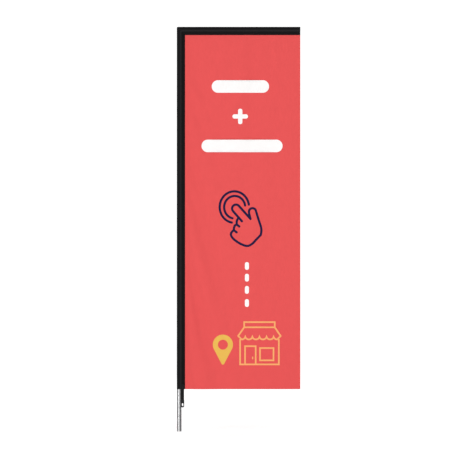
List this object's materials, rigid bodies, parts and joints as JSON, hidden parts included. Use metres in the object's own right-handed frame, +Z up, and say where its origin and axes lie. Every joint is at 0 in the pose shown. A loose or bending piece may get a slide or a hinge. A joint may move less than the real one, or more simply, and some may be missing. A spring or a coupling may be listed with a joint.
{
  "type": "rectangular banner flag",
  "caption": "Tall rectangular cloth flag on an L-shaped pole, with a black pole sleeve along its side and top, a turning top arm and an elastic tension strap at the foot.",
  "frame": {"origin": "centre of the pole's foot, at the mouth of the spindle bore", "axes": "+Z up the pole, +X along the top arm towards the flag's free edge, the printed face looks along -Y"},
  "size_m": [0.75, 0.0304, 2.455],
  "materials": {
    "pole_tube": "drawn and anodised, satin",
    "spigot_tube": "mill, satin",
    "rivet_metal": "plain, countersunk",
    "bush_nylon": "moulded, low sheen",
    "black_nylon": "moulded, fine texture",
    "screw_steel": "zinc plated",
    "printed_cloth": "knitted polyester, dye printed",
    "sleeve_cloth": "woven polyester, matt with a faint sheen",
    "elastic_webbing": "ribbed elastic webbing",
    "tab_plastic": "moulded, low sheen"
  },
  "bodies": {
    "pole": {"lower_pole": "pole_tube", "middle_pole": "pole_tube", "upper_pole": "pole_tube", "lower_spigot": "spigot_tube", "upper_spigot": "spigot_tube", "pole_rivets": "rivet_metal", "foot_bush": "bush_nylon"},
    "flag": {"corner_elbow": "black_nylon", "arm_tube": "pole_tube", "arm_screw": "screw_steel", "arm_end_cap": "black_nylon", "flag_panel": "printed_cloth", "pole_sleeve": "sleeve_cloth", "arm_sleeve": "sleeve_cloth", "sleeve_end_patch": "sleeve_cloth", "strap_tail": "elastic_webbing"},
    "strap": {"tension_strap": "elastic_webbing"},
    "strap_end": {"strap_tab": "tab_plastic"}
  },
  "joints": [
    {"name": "flag_swivel", "type": "hinge", "parent": "pole", "child": "flag", "pos_m": [0, 0, 2.4197], "axis": [0, 0, 1], "continuous": true},
    {"name": "strap_swing", "type": "hinge", "parent": "flag", "child": "strap", "pos_m": [0.02024, -0.00772, 0.255], "axis": [-0.893, -0.45, 0], "range_deg": [0, 75]},
    {"name": "strap_stretch", "type": "slide", "parent": "strap", "child": "strap_end", "axis": [0, 0, -1], "range_m": [0, 0.05], "stiffness_N_per_m": 200, "deforming": ["tension_strap"]}
  ]
}
